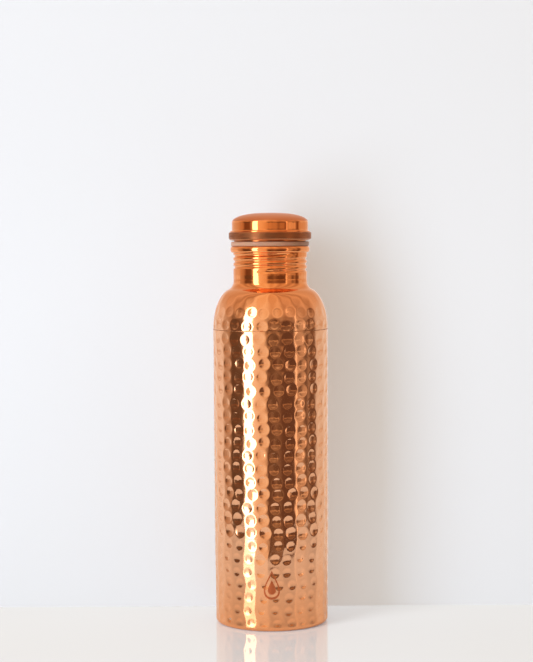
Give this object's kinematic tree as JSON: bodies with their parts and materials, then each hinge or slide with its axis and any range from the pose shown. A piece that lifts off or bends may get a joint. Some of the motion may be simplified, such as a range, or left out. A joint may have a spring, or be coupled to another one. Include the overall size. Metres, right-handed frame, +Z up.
{
  "type": "copper water bottle",
  "caption": "Hammered copper water bottle with a rolled-thread neck, a silicone seal and a domed screw cap with a knurled grip ring.",
  "frame": {"origin": "centre of the circle that the foot rests on", "axes": "+Z up the bottle's axis, -Y to the front, where the etched drop is, +X to the right seen from the front"},
  "size_m": [0.075, 0.075, 0.2679],
  "materials": {
    "hammered_copper": "hammered and polished, clear lacquered",
    "polished_copper": "polished",
    "plain_copper": "as rolled, inside the bottle",
    "knurled_copper": "darkened, diagonally knurled",
    "solder": "satin tin solder",
    "silicone": "translucent white silicone"
  },
  "bodies": {
    "bottle": {"base_disc": "plain_copper", "base_solder": "solder", "body_tube": "hammered_copper", "shoulder_solder": "solder", "shoulder_neck": "hammered_copper"},
    "seal": {"gasket": "silicone"},
    "cap": {"cap_plug": "polished_copper", "knurled_ring": "knurled_copper", "cap_solder": "solder", "cap_shell": "polished_copper"}
  },
  "joints": [
    {"name": "cap_lift", "type": "slide", "parent": "bottle", "child": "seal", "axis": [0, 0, 1], "range_m": [0, 0.01775]},
    {"name": "cap_turn", "type": "hinge", "parent": "seal", "child": "cap", "pos_m": [0, 0, 0.25], "axis": [0, 0, 1], "range_deg": [0, 1800]}
  ],
  "couplings": [
    {"joint": "cap_lift", "follows": "cap_turn", "m_per_rad": 0.000565}
  ]
}
